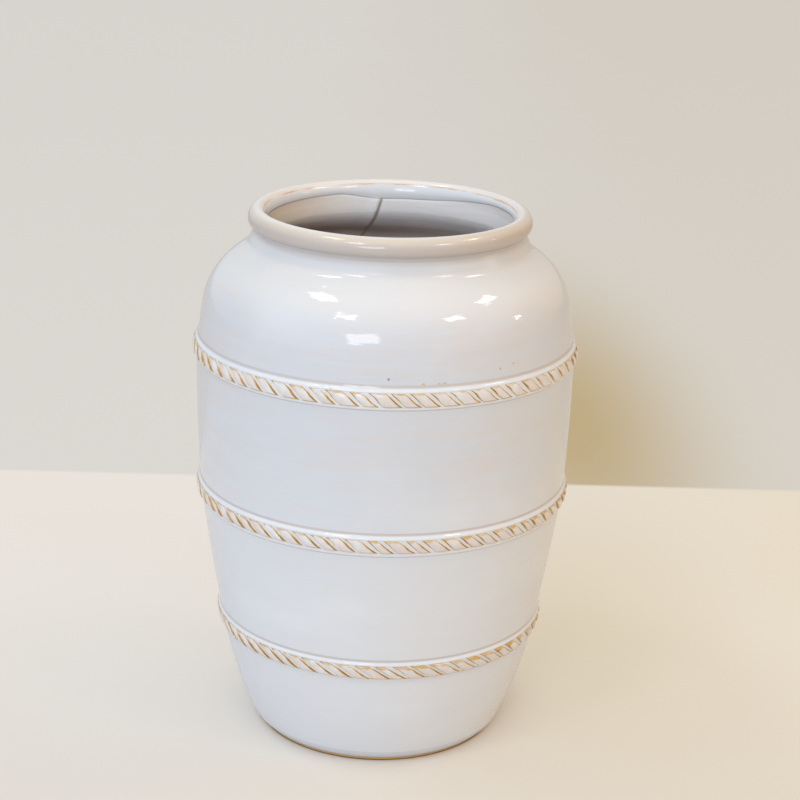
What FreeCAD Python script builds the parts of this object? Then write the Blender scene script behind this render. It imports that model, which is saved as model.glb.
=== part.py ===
import FreeCAD
import Part
import Sketcher
import os
import re

# A wide ceramic storage jar, after the Greek pithos, in millimetres. Its frame has +Z up, with the
# origin on the jar's axis in the plane of its foot. The wall is raised on a floor slab in four
# sections, then a neck and a rim. The bevelled joints between the sections lie behind the ropes.

FULL_TURN = 360

# Sizes in millimetres, leans and turns in degrees, tapers in radius gained per unit of height
SIZES = (
    ("wall_thickness", 6.0, "wall of every section"),
    ("bevel_rise", 3.0, "height that a joint's bevel climbs towards the inside"),
    ("foot_inset", 5.9, "slab's rim to the side of the foot"),
    ("foot_bevel", 1.0, "bevel at the foot's outer edge"),
    ("foot_width", 9.0, "bare clay ring that the jar stands on"),
    ("foot_rise", 1.5, "hollow under the floor"),
    ("slab_rise", 8.0, "table to the top of the slab's rim"),
    ("slab_radius", 76.6, "slab's rim, where the wall begins"),
    ("step_rise", 1.5, "raised floor that centres the wall"),
    ("lower_rise", 60.55, "slab to the lower joint"),
    ("lower_bow", 1.8, "swell of the lower wall beyond a straight line"),
    ("belly_rise", 80.05, "lower joint to the middle joint"),
    ("belly_bow", 0.28, "swell of the belly wall"),
    ("upper_rise", 83.9, "middle joint to the upper joint"),
    ("upper_bow", 0.43, "swell of the upper wall"),
    ("crown_rise", 23.74, "upper joint to where the shoulder starts to turn"),
    ("crown_inset", 2.75, "upper joint in to where the turn starts, outside"),
    ("crown_bow", 0.09, "swell below the turn"),
    ("crown_lean", 8.5, "wall's lean from upright, where the turn starts"),
    ("turn_rise", 27.33, "height of the shoulder's turn"),
    ("turn_inset", 16.1, "start of the turn in to its end, outside"),
    ("turn_bow", 3.09, "swell of the shoulder's turn"),
    ("turn_lean", 52.6, "wall's lean from upright, where the turn ends"),
    ("neck_rise", 15.93, "end of the turn to the crease under the rim"),
    ("neck_inset", 14.5, "end of the turn in to the crease, outside"),
    ("neck_bow", 0.97, "hollow of the neck, outside"),
    ("throat_bow", 1.8, "swell of the neck, inside"),
    ("neck_thickness", 4.6, "wall at the joint of the neck and the rim"),
    ("seat_rise", 1.5, "height that the rim's seat climbs towards the inside"),
    ("rim_rise", 11.5, "crease to the rim's crest"),
    ("rim_overhang", 5.8, "crease out to the widest part of the rim"),
    ("rim_under_rise", 5.2, "crease to the widest part of the rim"),
    ("rim_under_bow", 1.7, "roundness below the widest part"),
    ("rim_outer_bow", 1.2, "roundness above the widest part"),
    ("crest_inset", 4.4, "widest part in to the top of the rim"),
    ("crest_bow", 0.8, "roundness of the rim's top"),
    ("lip_inset", 4.1, "top of the rim in to its inner edge"),
    ("lip_drop", 1.5, "crest to the rim's inner edge"),
    ("lip_bow", 0.65, "roundness inside the rim"),
    ("bed_depth", 0.8, "strip of clay under a rope"),
    ("bead_share", 0.36, "swell of a bead, as a share of its height"),
    ("rope_edge_depth", 2.0, "rope's upper and lower edges, out from the wall"),
    ("rope_crown", 0.8, "rope's roundness beyond its edges"),
    ("groove_floor", 1.3, "floor of the grooves between the strands, out from the wall"),
    ("groove_above", 3.5, "groove's width at the rope's upper edge"),
    ("groove_below", 2.0, "groove's width at the rope's lower edge"),
    ("groove_overrun", 1.0, "groove cut past the rope, above, below and in front"),
    ("lower_gain", 17.5, "slab out to the wall at the lower joint"),
    ("lower_taper", 0.197, "wall's flare at the lower joint"),
    ("lower_rope", 6.5, "height of the lower rope"),
    ("lower_bead_below", 1.5, "bead below the lower rope"),
    ("lower_bead_above", 4.0, "bead above the lower rope"),
    ("lower_pitch", 10.4, "one strand of the lower rope, along the wall"),
    ("lower_lean", 54.5, "strands' lean from upright, lower rope"),
    ("middle_gain", 12.1, "lower joint out to the wall at the middle joint"),
    ("middle_taper", 0.063, "wall's flare at the middle joint"),
    ("middle_rope", 7.2, "height of the middle rope"),
    ("middle_bead_below", 3.0, "bead below the middle rope"),
    ("middle_bead_above", 4.1, "bead above the middle rope"),
    ("middle_pitch", 10.1, "one strand of the middle rope, along the wall"),
    ("middle_lean", 49.7, "strands' lean from upright, middle rope"),
    ("upper_gain", 1.75, "middle joint out to the wall at the upper joint"),
    ("upper_taper", -0.088, "wall's flare at the upper joint"),
    ("upper_rope", 8.0, "height of the upper rope"),
    ("upper_bead_below", 2.2, "bead below the upper rope"),
    ("upper_bead_above", 3.8, "bead above the upper rope"),
    ("upper_pitch", 10.9, "one strand of the upper rope, along the wall"),
    ("upper_lean", 48.6, "strands' lean from upright, upper rope"),
)

# Heights above the table and distances from the axis that follow from the sizes
FOLLOWING = (
    ("foot_radius", "slab_radius - foot_inset"),
    ("lower_radius", "slab_radius + lower_gain"),
    ("middle_radius", "lower_radius + middle_gain"),
    ("upper_radius", "middle_radius + upper_gain"),
    ("lower_joint", "slab_rise + lower_rise"),
    ("middle_joint", "lower_joint + belly_rise"),
    ("upper_joint", "middle_joint + upper_rise"),
    ("crown_height", "upper_joint + crown_rise"),
    ("crown_radius", "upper_radius - crown_inset"),
    ("turn_height", "crown_height + turn_rise"),
    ("turn_radius", "crown_radius - turn_inset"),
    ("neck_height", "turn_height + neck_rise"),
    ("neck_radius", "turn_radius - neck_inset"),
    ("mouth_radius", "neck_radius - neck_thickness"),
    ("rim_radius", "neck_radius + rim_overhang"),
    ("crest_height", "neck_height + rim_rise"),
    ("crest_radius", "rim_radius - crest_inset"),
    ("lip_radius", "crest_radius - lip_inset"),
)

BANDS = ("lower", "middle", "upper")
NAMES = {row[0] for row in SIZES} | {row[0] for row in FOLLOWING}

doc = FreeCAD.newDocument("Pithos")
sheet = doc.addObject("Spreadsheet::Sheet", "Sizes")
pieces = []


def fill_sheet():
    """Write each size and each following value in a row, with its meaning beside it."""
    rows = [(name, str(size), meaning) for name, size, meaning in SIZES]
    rows += [(name, "=" + formula, "follows from the sizes") for name, formula in FOLLOWING]
    for number, (name, content, meaning) in enumerate(rows, start=1):
        sheet.set(f"A{number}", meaning)
        sheet.set(f"B{number}", content)
        sheet.setAlias(f"B{number}", name)
    doc.recompute()


def bound(formula):
    """The formula with each name turned into a reference to the sheet."""
    return re.sub(r"[a-z_]+", lambda word: ("Sizes." if word[0] in NAMES else "") + word[0], formula)


def value(formula):
    return float(sheet.evalExpression(bound(formula)))


def bowed_edge(start, end, bow):
    """An arc from start to end whose middle stands bow to the right of the straight way."""
    along = end - start
    side = FreeCAD.Vector(along.y, -along.x, 0)
    side.normalize()
    middle = (start + end) / 2 + side * bow
    return Part.Arc(start, middle, end)


def bow_radius(start, end, bow):
    """Formula for the radius of the arc between two corners."""
    chord_squared = f"(({end[0]} - ({start[0]})) ^ 2 + ({end[1]} - ({start[1]})) ^ 2)"
    return f"({chord_squared} / 4 + ({bow}) ^ 2) / (2 * abs({bow}))"


def end_at(sketch, edge, spot):
    """Which end of an edge lies at the spot: 1 for its start and 2 for its end."""
    gaps = [(sketch.getPoint(edge, end) - spot).Length for end in (1, 2)]
    return 1 + gaps.index(min(gaps))


def tie(sketch, constraint, formula):
    index = sketch.addConstraint(constraint)
    sketch.setExpression(f"Constraints[{index}]", bound(formula))


def draw_outline(sketch, corners):
    """Close a chain of edges through the corners.

    A corner is its distance out, its height, and, where the edge that leads to it is an arc, the
    arc's bow to the right of the way along the chain. All are formulas in the sheet's names.
    """
    spots = [FreeCAD.Vector(value(corner[0]), value(corner[1]), 0) for corner in corners]
    for index, corner in enumerate(corners):
        start = spots[index - 1]
        end = spots[index]
        if len(corner) == 2:
            sketch.addGeometry(Part.LineSegment(start, end))
        else:
            sketch.addGeometry(bowed_edge(start, end, value(corner[2])))
    for index, corner in enumerate(corners):
        following = (index + 1) % len(corners)
        end = end_at(sketch, index, spots[index])
        start = end_at(sketch, following, spots[index])
        sketch.addConstraint(Sketcher.Constraint("Coincident", index, end, following, start))
        out = Sketcher.Constraint("DistanceX", -1, 1, index, end, spots[index].x)
        up = Sketcher.Constraint("DistanceY", -1, 1, index, end, spots[index].y)
        tie(sketch, out, corner[0])
        tie(sketch, up, corner[1])
        if len(corner) == 3:
            formula = bow_radius(corners[index - 1], corner, corner[2])
            tie(sketch, Sketcher.Constraint("Radius", index, value(formula)), formula)


def origin_part(body, role):
    return next(part for part in body.Origin.OriginFeatures if part.Role == role)


def upright_sketch(body, name):
    """A sketch in the body's own upright plane, with x out from the axis and y up."""
    sketch = body.newObject("Sketcher::SketchObject", name)
    sketch.AttachmentSupport = [(origin_part(body, "XZ_Plane"), "")]
    sketch.MapMode = "FlatFace"
    return sketch


def turned_piece(name, corners):
    """A body turned about the jar's axis from one closed outline."""
    body = doc.addObject("PartDesign::Body", name)
    body.Label = name
    outline = upright_sketch(body, name + "_outline")
    draw_outline(outline, corners)
    turned = body.newObject("PartDesign::Revolution", name + "_turned")
    turned.Profile = outline
    turned.ReferenceAxis = (origin_part(body, "Z_Axis"), [""])
    turned.Angle = FULL_TURN
    body.Tip = turned
    pieces.append(body)
    return body


def on_wall(band, up, out="0"):
    """A corner beside a band's joint: up along the flared wall, and out from its face."""
    return f"{band}_radius + {band}_taper * ({up}) + {out}", f"{band}_joint + {up}"


def joint_inside(band):
    """The inner edge of a joint's bevel."""
    return f"{band}_radius - wall_thickness", f"{band}_joint + bevel_rise"


def band_foot(band):
    return f"-({band}_rope / 2 + {band}_bead_below)"


def band_top(band):
    return f"({band}_rope / 2 + {band}_bead_above)"


def inside_wall(place):
    """The inner corner opposite one on the shoulder, square through the wall."""
    out = f"{place}_radius - wall_thickness * cos({place}_lean)"
    up = f"{place}_height - wall_thickness * sin({place}_lean)"
    return out, up


def build_base_slab():
    """A round floor with a raised middle, on a ring of bare clay."""
    turned_piece("base_slab", (
        ("0", "foot_rise"),
        ("foot_radius - foot_width - foot_rise", "foot_rise"),
        ("foot_radius - foot_width", "0"),
        ("foot_radius - foot_bevel", "0"),
        ("foot_radius", "foot_bevel"),
        ("slab_radius", "slab_rise"),
        ("slab_radius - wall_thickness", "slab_rise"),
        ("slab_radius - wall_thickness", "slab_rise + step_rise"),
        ("0", "slab_rise + step_rise"),
    ))


def build_lower_wall():
    """The flaring ring from the slab to the lower joint."""
    turned_piece("lower_wall", (
        ("slab_radius - wall_thickness", "slab_rise"),
        ("slab_radius", "slab_rise"),
        (*on_wall("lower", band_foot("lower")), "lower_bow"),
        on_wall("lower", "0"),
        joint_inside("lower"),
        ("slab_radius - wall_thickness", "slab_rise + step_rise", "-lower_bow"),
    ))


def build_middle_section(name, below, above):
    """A wall section between two joints, with a straight seat for each band that covers one."""
    turned_piece(f"{name}_wall", (
        on_wall(below, "0"),
        on_wall(below, band_top(below)),
        (*on_wall(above, band_foot(above)), f"{name}_bow"),
        on_wall(above, "0"),
        joint_inside(above),
        (*joint_inside(below), f"-{name}_bow"),
    ))


def build_shoulder():
    """The section that turns in from the upper joint to the neck."""
    inner_turn = "turn_bow - wall_thickness * (1 - cos((turn_lean - crown_lean) / 2))"
    turned_piece("shoulder", (
        on_wall("upper", "0"),
        on_wall("upper", band_top("upper")),
        ("crown_radius", "crown_height", "crown_bow"),
        ("turn_radius", "turn_height", "turn_bow"),
        inside_wall("turn"),
        (*inside_wall("crown"), f"-({inner_turn})"),
        (*joint_inside("upper"), "-crown_bow"),
    ))


def build_neck_collar():
    """The short hollowed ring between the shoulder and the rim."""
    turned_piece("neck_collar", (
        ("turn_radius", "turn_height"),
        ("neck_radius", "neck_height", "-neck_bow"),
        ("mouth_radius", "neck_height + seat_rise"),
        (*inside_wall("turn"), "throat_bow"),
    ))


def build_rolled_rim():
    """The thick rounded rim on the neck."""
    turned_piece("rolled_rim", (
        ("neck_radius", "neck_height"),
        ("rim_radius", "neck_height + rim_under_rise", "rim_under_bow"),
        ("crest_radius", "crest_height", "rim_outer_bow"),
        ("lip_radius", "crest_height - lip_drop", "crest_bow"),
        ("mouth_radius", "neck_height + seat_rise", "lip_bow"),
    ))


def build_band_bed(band):
    """A strip of clay over a joint, with a bead along each edge and a flat for the rope between."""
    rope_foot = f"-{band}_rope / 2"
    rope_top = f"{band}_rope / 2"
    turned_piece(f"{band}_band_bed", (
        on_wall(band, band_foot(band)),
        (*on_wall(band, rope_foot, "bed_depth"), f"bead_share * {band}_bead_below"),
        on_wall(band, rope_top, "bed_depth"),
        (*on_wall(band, band_top(band)), f"bead_share * {band}_bead_above"),
    ))


def build_rope(band):
    """A rounded clay cord on a bed's flat, with leaning grooves that part it into strands."""
    foot = f"-{band}_rope / 2"
    top = f"{band}_rope / 2"
    body = turned_piece(f"{band}_rope", (
        on_wall(band, foot, "bed_depth"),
        on_wall(band, foot, "rope_edge_depth"),
        (*on_wall(band, top, "rope_edge_depth"), "rope_crown"),
        on_wall(band, top, "bed_depth"),
    ))
    groove = cut_groove(body, band)
    repeat_groove(body, band, groove)


def cut_groove(body, band):
    """One groove at the front, cut square to the flared wall."""
    reach = f"({band}_rope / 2 + groove_overrun)"
    shift = f"{reach} * tan({band}_lean)"
    outline = upright_sketch(body, f"{band}_groove_outline")
    outline.AttachmentOffset = FreeCAD.Placement(
        FreeCAD.Vector(0, value(f"{band}_joint"), value(f"{band}_radius + groove_floor")),
        FreeCAD.Rotation(FreeCAD.Vector(1, 0, 0), value(f"atan({band}_taper)")),
    )
    outline.setExpression("AttachmentOffset.Base.y", bound(f"{band}_joint"))
    outline.setExpression("AttachmentOffset.Base.z", bound(f"{band}_radius + groove_floor"))
    outline.setExpression("AttachmentOffset.Rotation.Angle", bound(f"atan({band}_taper)"))
    draw_outline(outline, (
        (f"{shift} - groove_below / 2", f"-{reach}"),
        (f"{shift} + groove_below / 2", f"-{reach}"),
        (f"groove_above / 2 - {shift}", reach),
        (f"-groove_above / 2 - {shift}", reach),
    ))
    groove = body.newObject("PartDesign::Pocket", f"{band}_groove")
    groove.Profile = outline
    groove.Reversed = True
    groove.setExpression("Length", bound("rope_edge_depth + rope_crown + groove_overrun"))
    return groove


def repeat_groove(body, band, groove):
    """The groove repeated round the jar, one for each strand."""
    around = body.newObject("PartDesign::PolarPattern", f"{band}_grooves")
    around.Originals = [groove]
    around.Axis = (origin_part(body, "Z_Axis"), [""])
    around.Angle = FULL_TURN
    around.setExpression("Occurrences", bound(f"round(2 * pi * {band}_radius / {band}_pitch)"))
    body.Tip = around


def check_document():
    """Stop before anything is written if an object failed or a piece has no sound shape."""
    for item in doc.Objects:
        if "Invalid" in item.State or "Error" in item.State:
            raise RuntimeError(f"{item.Label} failed: {item.State}")
    for piece in pieces:
        if piece.Shape.isNull() or not piece.Shape.isValid():
            raise RuntimeError(f"{piece.Label} has no sound shape")


def write_pieces():
    os.makedirs("parts", exist_ok=True)
    for piece in pieces:
        piece.Shape.exportStep(f"parts/{piece.Label}.step")
        print(f"{piece.Label}: {len(piece.Shape.Solids)} solid, {piece.Shape.Volume:.0f} mm3")


fill_sheet()
build_base_slab()
build_lower_wall()
build_middle_section("belly", "lower", "middle")
build_middle_section("upper", "middle", "upper")
build_shoulder()
build_neck_collar()
build_rolled_rim()
for band_name in BANDS:
    build_band_bed(band_name)
    build_rope(band_name)
doc.recompute()
check_document()
write_pieces()
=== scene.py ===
"""A white glazed storage jar after the Greek pithos, dressed piece by piece.

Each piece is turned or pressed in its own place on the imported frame, in metres. The wall sections,
the foot, the rim and the beds of the rope bands are outlines swept round the jar's axis, and the
ropes are rows of slanting strands. Their finishes are glazes that thin to amber on sharp edges.
"""
import logging
import math
from dataclasses import dataclass
from enum import Enum
from typing import Union

import bmesh
import bpy
from mathutils import Matrix, Vector


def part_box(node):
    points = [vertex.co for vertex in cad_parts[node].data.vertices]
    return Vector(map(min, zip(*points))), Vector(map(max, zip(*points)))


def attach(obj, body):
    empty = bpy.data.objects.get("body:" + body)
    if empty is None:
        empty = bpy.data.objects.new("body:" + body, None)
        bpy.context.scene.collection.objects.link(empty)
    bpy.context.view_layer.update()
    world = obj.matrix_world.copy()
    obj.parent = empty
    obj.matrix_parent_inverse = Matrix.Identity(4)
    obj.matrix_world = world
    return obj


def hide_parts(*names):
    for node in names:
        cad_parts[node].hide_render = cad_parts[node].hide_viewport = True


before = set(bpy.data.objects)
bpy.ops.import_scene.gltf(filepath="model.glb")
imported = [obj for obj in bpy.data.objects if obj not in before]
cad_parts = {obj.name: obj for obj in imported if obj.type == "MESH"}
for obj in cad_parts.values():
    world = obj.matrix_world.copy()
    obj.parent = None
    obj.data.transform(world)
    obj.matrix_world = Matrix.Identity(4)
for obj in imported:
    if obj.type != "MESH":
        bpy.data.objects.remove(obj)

LOG = logging.getLogger("pithos")
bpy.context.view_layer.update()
MM = 0.001
FULL_TURN = 2 * math.pi
SHARP_ANGLE = math.radians(48)
MERGE_GAP = 0.004 * MM
GLAZE_IOR = 1.52

# Sizes in millimetres that pieces share where they meet.
WALL = 6.0
SLAB_RADIUS = 76.6
SLAB_RISE = 8.0
NECK_RADIUS = 74.6
NECK_HEIGHT = 299.5
NECK_THICKNESS = 4.6
SEAT_RISE = 1.5

Colour = tuple[float, float, float]
Span = tuple[float, float]
Number = Union[float, "Field"]


class Field:
    """A number that a node works out, with the usual arithmetic."""

    def __init__(self, tree: "Tree", socket: bpy.types.NodeSocket) -> None:
        """Keep the socket, and the tree that holds it."""
        self.tree = tree
        self.socket = socket

    def __add__(self, other: Number) -> "Field":
        """Add a number."""
        return self.tree.math("ADD", self, other)

    __radd__ = __add__

    def __mul__(self, other: Number) -> "Field":
        """Multiply by a number."""
        return self.tree.math("MULTIPLY", self, other)

    __rmul__ = __mul__

    def __sub__(self, other: Number) -> "Field":
        """Take a number away."""
        return self.tree.math("SUBTRACT", self, other)

    def __rsub__(self, other: Number) -> "Field":
        """Take this away from a number."""
        return self.tree.math("SUBTRACT", other, self)

    def __truediv__(self, other: Number) -> "Field":
        """Divide by a number."""
        return self.tree.math("DIVIDE", self, other)

    def call(self, operation: str, *others: Number) -> "Field":
        """Apply a Math node's operation, with this as its first value."""
        return self.tree.math(operation, self, *others)

    def ramp(self, low: Number, high: Number) -> "Field":
        """Rise smoothly from 0 to 1 between two values, or fall where high is under low."""
        settings = {"interpolation_type": "SMOOTHSTEP"}
        node = self.tree.add("ShaderNodeMapRange", settings, {0: self, 1: low, 2: high})
        return Field(self.tree, node.outputs[0])

    def clamp(self) -> "Field":
        """Hold between 0 and 1."""
        return self.tree.add_math("ADD", (self, 0.0), clamped=True)


class Tree:
    """Adds nodes to a shader or geometry tree, and joins them."""

    NOISE_MIDDLE = 0.5
    NOISE_GAIN = 3.0

    def __init__(self, tree: bpy.types.NodeTree) -> None:
        """Start on an empty tree."""
        self.tree = tree
        tree.nodes.clear()

    def add(
        self, kind: str, settings: dict | None = None, inputs: dict | None = None,
    ) -> bpy.types.Node:
        """Add one node.

        Args:
            kind: The node's type in Blender.
            settings: Its properties by name.
            inputs: Its inputs by name or number, each a value, a Field or a socket.

        Returns:
            The new node.
        """
        node = self.tree.nodes.new(kind)
        for name, value in (settings or {}).items():
            setattr(node, name, value)
        for key, value in (inputs or {}).items():
            self.join(node.inputs[key], value)
        return node

    def join(self, entry: bpy.types.NodeSocket, value: object) -> None:
        """Link an input to a Field or socket, or set it to a plain value."""
        if isinstance(value, Field):
            self.tree.links.new(value.socket, entry)
        elif isinstance(value, bpy.types.NodeSocket):
            self.tree.links.new(value, entry)
        else:
            entry.default_value = value

    def add_math(self, operation: str, values: tuple[Number, ...], clamped: bool = False) -> Field:
        """Add a Math node, held between 0 and 1 if clamped."""
        settings = {"operation": operation, "use_clamp": clamped}
        node = self.add("ShaderNodeMath", settings, dict(enumerate(values)))
        return Field(self, node.outputs[0])

    def math(self, operation: str, *values: Number) -> Field:
        """Add a Math node."""
        return self.add_math(operation, values)

    def combine(self, x: Number, y: Number, z: Number) -> bpy.types.NodeSocket:
        """Make a vector of three numbers."""
        return self.add("ShaderNodeCombineXYZ", None, {0: x, 1: y, 2: z}).outputs[0]

    def separate(self, vector: bpy.types.NodeSocket) -> tuple[Field, Field, Field]:
        """Take a vector apart."""
        node = self.add("ShaderNodeSeparateXYZ", None, {0: vector})
        return tuple(Field(self, socket) for socket in node.outputs)

    def noise(self, place: bpy.types.NodeSocket, scale: float, detail: float = 2.0) -> Field:
        """Smooth noise about 0, from about -1 to 1.

        Args:
            place: The vector at which the noise is read.
            scale: Features per unit of that vector.
            detail: Octaves beyond the first.

        Returns:
            The noise.
        """
        inputs = {"Vector": place, "Scale": scale, "Detail": detail}
        node = self.add("ShaderNodeTexNoise", None, inputs)
        return (Field(self, node.outputs[0]) - self.NOISE_MIDDLE) * self.NOISE_GAIN

    def random(self, number: Number, seed: Number) -> Field:
        """An even random number from -1 to 1, the same for the same number and seed."""
        inputs = {"Vector": self.combine(number, seed, 0.0)}
        node = self.add("ShaderNodeTexWhiteNoise", {"noise_dimensions": "2D"}, inputs)
        return Field(self, node.outputs["Value"]) * 2.0 - 1.0


class ShapeTree(Tree):
    """A Geometry Nodes tree with named inputs."""

    def __init__(self, name: str) -> None:
        """Make the tree, its group input and its outgoing geometry."""
        super().__init__(bpy.data.node_groups.new(name, "GeometryNodeTree"))
        self.entries: dict[str, str] = {}
        self.socket("Geometry", "NodeSocketGeometry")
        self.tree.interface.new_socket("Geometry", in_out="OUTPUT", socket_type="NodeSocketGeometry")
        self.source = None

    def socket(self, name: str, kind: str) -> None:
        """Declare a named input."""
        item = self.tree.interface.new_socket(name, in_out="INPUT", socket_type=kind)
        self.entries[name] = item.identifier

    def declare(self, *names: str) -> None:
        """Declare inputs that are plain numbers, and open the group input."""
        for name in names:
            self.socket(name, "NodeSocketFloat")
        self.socket("Material", "NodeSocketMaterial")
        self.source = self.add("NodeGroupInput")

    def entry(self, name: str) -> Field:
        """The value of a named input."""
        return Field(self, self.source.outputs[name])

    def grid(self, across: Number, along: Number) -> tuple[bpy.types.NodeSocket, Field, Field]:
        """A grid of points, and the column and row of each.

        Args:
            across: Number of columns of points.
            along: Number of points in a column.

        Returns:
            The grid's mesh, and each point's column and row.
        """
        inputs = {"Size X": 1.0, "Size Y": 1.0, "Vertices X": across, "Vertices Y": along}
        mesh = self.add("GeometryNodeMeshGrid", None, inputs).outputs["Mesh"]
        index = Field(self, self.add("GeometryNodeInputIndex").outputs[0])
        column = (index / along).call("FLOOR")
        return mesh, column, index - column * along

    def placed(self, mesh: bpy.types.NodeSocket, place: bpy.types.NodeSocket) -> bpy.types.NodeSocket:
        """Move the mesh's points to the places given."""
        inputs = {"Geometry": mesh, "Position": place}
        return self.add("GeometryNodeSetPosition", None, inputs).outputs[0]

    def marked(self, mesh: bpy.types.NodeSocket, **marks: Field) -> bpy.types.NodeSocket:
        """Store numbers on the mesh's points, for the finish to read."""
        for name, value in marks.items():
            settings = {"data_type": "FLOAT", "domain": "POINT"}
            inputs = {"Geometry": mesh, "Name": name, "Value": value}
            mesh = self.add("GeometryNodeStoreNamedAttribute", settings, inputs).outputs[0]
        return mesh

    def finish(self, mesh: bpy.types.NodeSocket) -> None:
        """Close the seams, and end the tree in a realized, finished mesh."""
        inputs = {"Geometry": mesh, "Distance": MERGE_GAP}
        closed = self.add("GeometryNodeMergeByDistance", None, inputs).outputs[0]
        real = self.add("GeometryNodeRealizeInstances", None, {0: closed}).outputs[0]
        inputs = {"Geometry": real, "Material": self.source.outputs["Material"]}
        dressed = self.add("GeometryNodeSetMaterial", None, inputs).outputs[0]
        self.add("NodeGroupOutput", None, {0: dressed})

    def make(self, name: str, base: bpy.types.Mesh, values: dict) -> bpy.types.Object:
        """Run the tree on a mesh, and keep the result as a plain piece.

        Args:
            name: The piece's name.
            base: The mesh that the tree starts from.
            values: The tree's inputs by name.

        Returns:
            The piece, with no modifier left on it.
        """
        worker = bpy.data.objects.new(name + "_maker", base)
        bpy.context.scene.collection.objects.link(worker)
        modifier = worker.modifiers.new("shape", "NODES")
        modifier.node_group = self.tree
        for key, value in values.items():
            modifier[self.entries[key]] = value
        bpy.context.view_layer.update()
        shaped = worker.evaluated_get(bpy.context.evaluated_depsgraph_get())
        mesh = bpy.data.meshes.new_from_object(shaped)
        worker.modifiers.remove(modifier)
        bpy.data.objects.remove(worker)
        return piece_of(name, mesh)


def piece_of(name: str, mesh: bpy.types.Mesh) -> bpy.types.Object:
    """A piece at the origin, with its faces outward, smooth but for its sharp edges."""
    shape = bmesh.new()
    shape.from_mesh(mesh)
    bmesh.ops.recalc_face_normals(shape, faces=shape.faces)
    shape.to_mesh(mesh)
    shape.free()
    mesh.name = name
    mesh.shade_smooth()
    mesh.set_sharp_from_angle(angle=SHARP_ANGLE)
    piece = bpy.data.objects.new(name, mesh)
    bpy.context.scene.collection.objects.link(piece)
    return piece


def settle(piece: bpy.types.Object, node: str) -> None:
    """Let the piece ride on the jar and stand for a CAD node.

    Args:
        piece: The finished piece.
        node: The CAD node that it stands for.
    """
    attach(piece, "root")
    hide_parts(node)
    LOG.info("%s stands for %s: %d faces", piece.name, node, len(piece.data.polygons))


@dataclass(frozen=True)
class Corner:
    """A corner of an outline, in millimetres, and the edge that leads to it.

    The edge bows to its right by bow, and is divided into runs of about step. The rest says how far
    the corner takes part in what the hand leaves and what is painted: thrown for the rings and the
    jar's being out of round, lift for a wavy joint, seam for the fold inside the neck, inner for the
    inside glaze (on a bed, for the painted shade along its edges), and crease for the painted shade
    along a line where two pieces of clay meet.
    """

    out: float
    up: float
    bow: float = 0.0
    step: float = 1.2
    thrown: float = 1.0
    inner: float = 0.0
    lift: float = 0.0
    seam: float = 0.0
    crease: float = 0.0


class Outline:
    """A closed chain of corners, divided into short runs."""

    MARKS = ("thrown", "inner", "lift", "seam", "crease")

    def __init__(self, corners: list[Corner], rounding: int = 0) -> None:
        """Divide the edges.

        Args:
            corners: The corners, anticlockwise.
            rounding: How often each point moves halfway to the middle of its neighbours.
        """
        self.places: list[Vector] = []
        self.marks: dict[str, list[float]] = {name: [] for name in self.MARKS}
        for start, end in zip(corners[-1:] + corners[:-1], corners):
            self.follow(start, end)
        for _ in range(rounding):
            self.round_off()

    def follow(self, start: Corner, end: Corner) -> None:
        """Add the points of one edge, without its start."""
        first = Vector((start.out, start.up))
        last = Vector((end.out, end.up))
        way = last - first
        runs = max(1, round(way.length / end.step))
        half_turn = 2 * math.atan2(2 * end.bow, way.length)
        right = Vector((way.y, -way.x)).normalized()
        for run in range(1, runs + 1):
            share = run / runs
            if abs(half_turn) > 1e-6:
                radius = way.length / 2 / math.sin(half_turn)
                turn = (2 * share - 1) * half_turn
                ahead = radius * math.sin(turn) / way.length + 0.5
                aside = radius * (math.cos(turn) - math.cos(half_turn))
            else:
                ahead, aside = share, 0.0
            self.places.append(first + way * ahead + right * aside)
            for name in self.MARKS:
                low, high = getattr(start, name), getattr(end, name)
                self.marks[name].append(low + (high - low) * share)

    def round_off(self) -> None:
        """Move each point halfway to the middle of its neighbours."""
        after = self.places[1:] + self.places[:1]
        before = self.places[-1:] + self.places[:-1]
        self.places = [(a + b) / 4 + p / 2 for a, p, b in zip(before, self.places, after)]

    def mesh(self, name: str) -> bpy.types.Mesh:
        """The outline's points as a mesh, with their marks."""
        base = bpy.data.meshes.new(name)
        base.from_pydata([(p.x * MM, 0.0, p.y * MM) for p in self.places], [], [])
        for mark, values in self.marks.items():
            base.attributes.new(mark, "FLOAT", "POINT").data.foreach_set("value", values)
        return base


@dataclass(frozen=True)
class Hand:
    """What the potter's hand leaves on a turned piece, with lengths in metres.

    The piece has columns of points round the axis, which gather draws together at the seam.
    """

    columns: int = 256
    gather: float = 0.0
    ring_depth: float = 0.03 * MM
    ring_pitch: float = 5.5 * MM
    out_of_round: float = 0.12 * MM
    lift: float = 0.0
    dip: float = 0.0
    swell: float = 0.0
    ripple: float = 0.0
    seam_depth: float = 0.0
    lean: float = 0.0

    def values(self, material: bpy.types.Material) -> dict:
        """The inputs of the turning tree."""
        return {
            "Columns": float(self.columns),
            "Gather": self.gather,
            "Ring depth": self.ring_depth,
            "Ring pitch": self.ring_pitch,
            "Out of round": self.out_of_round,
            "Lift": self.lift,
            "Dip": self.dip,
            "Swell": self.swell,
            "Ripple": self.ripple,
            "Seam depth": self.seam_depth,
            "Lean": self.lean,
            "Seed": 4.0,
            "Material": material,
        }


NECK_HAND = Hand(
    columns=384, gather=0.7, lift=2.7 * MM, dip=4.0 * MM, swell=1.2 * MM, ripple=0.12 * MM,
    seam_depth=0.9 * MM, lean=0.8 * MM,
)


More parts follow.
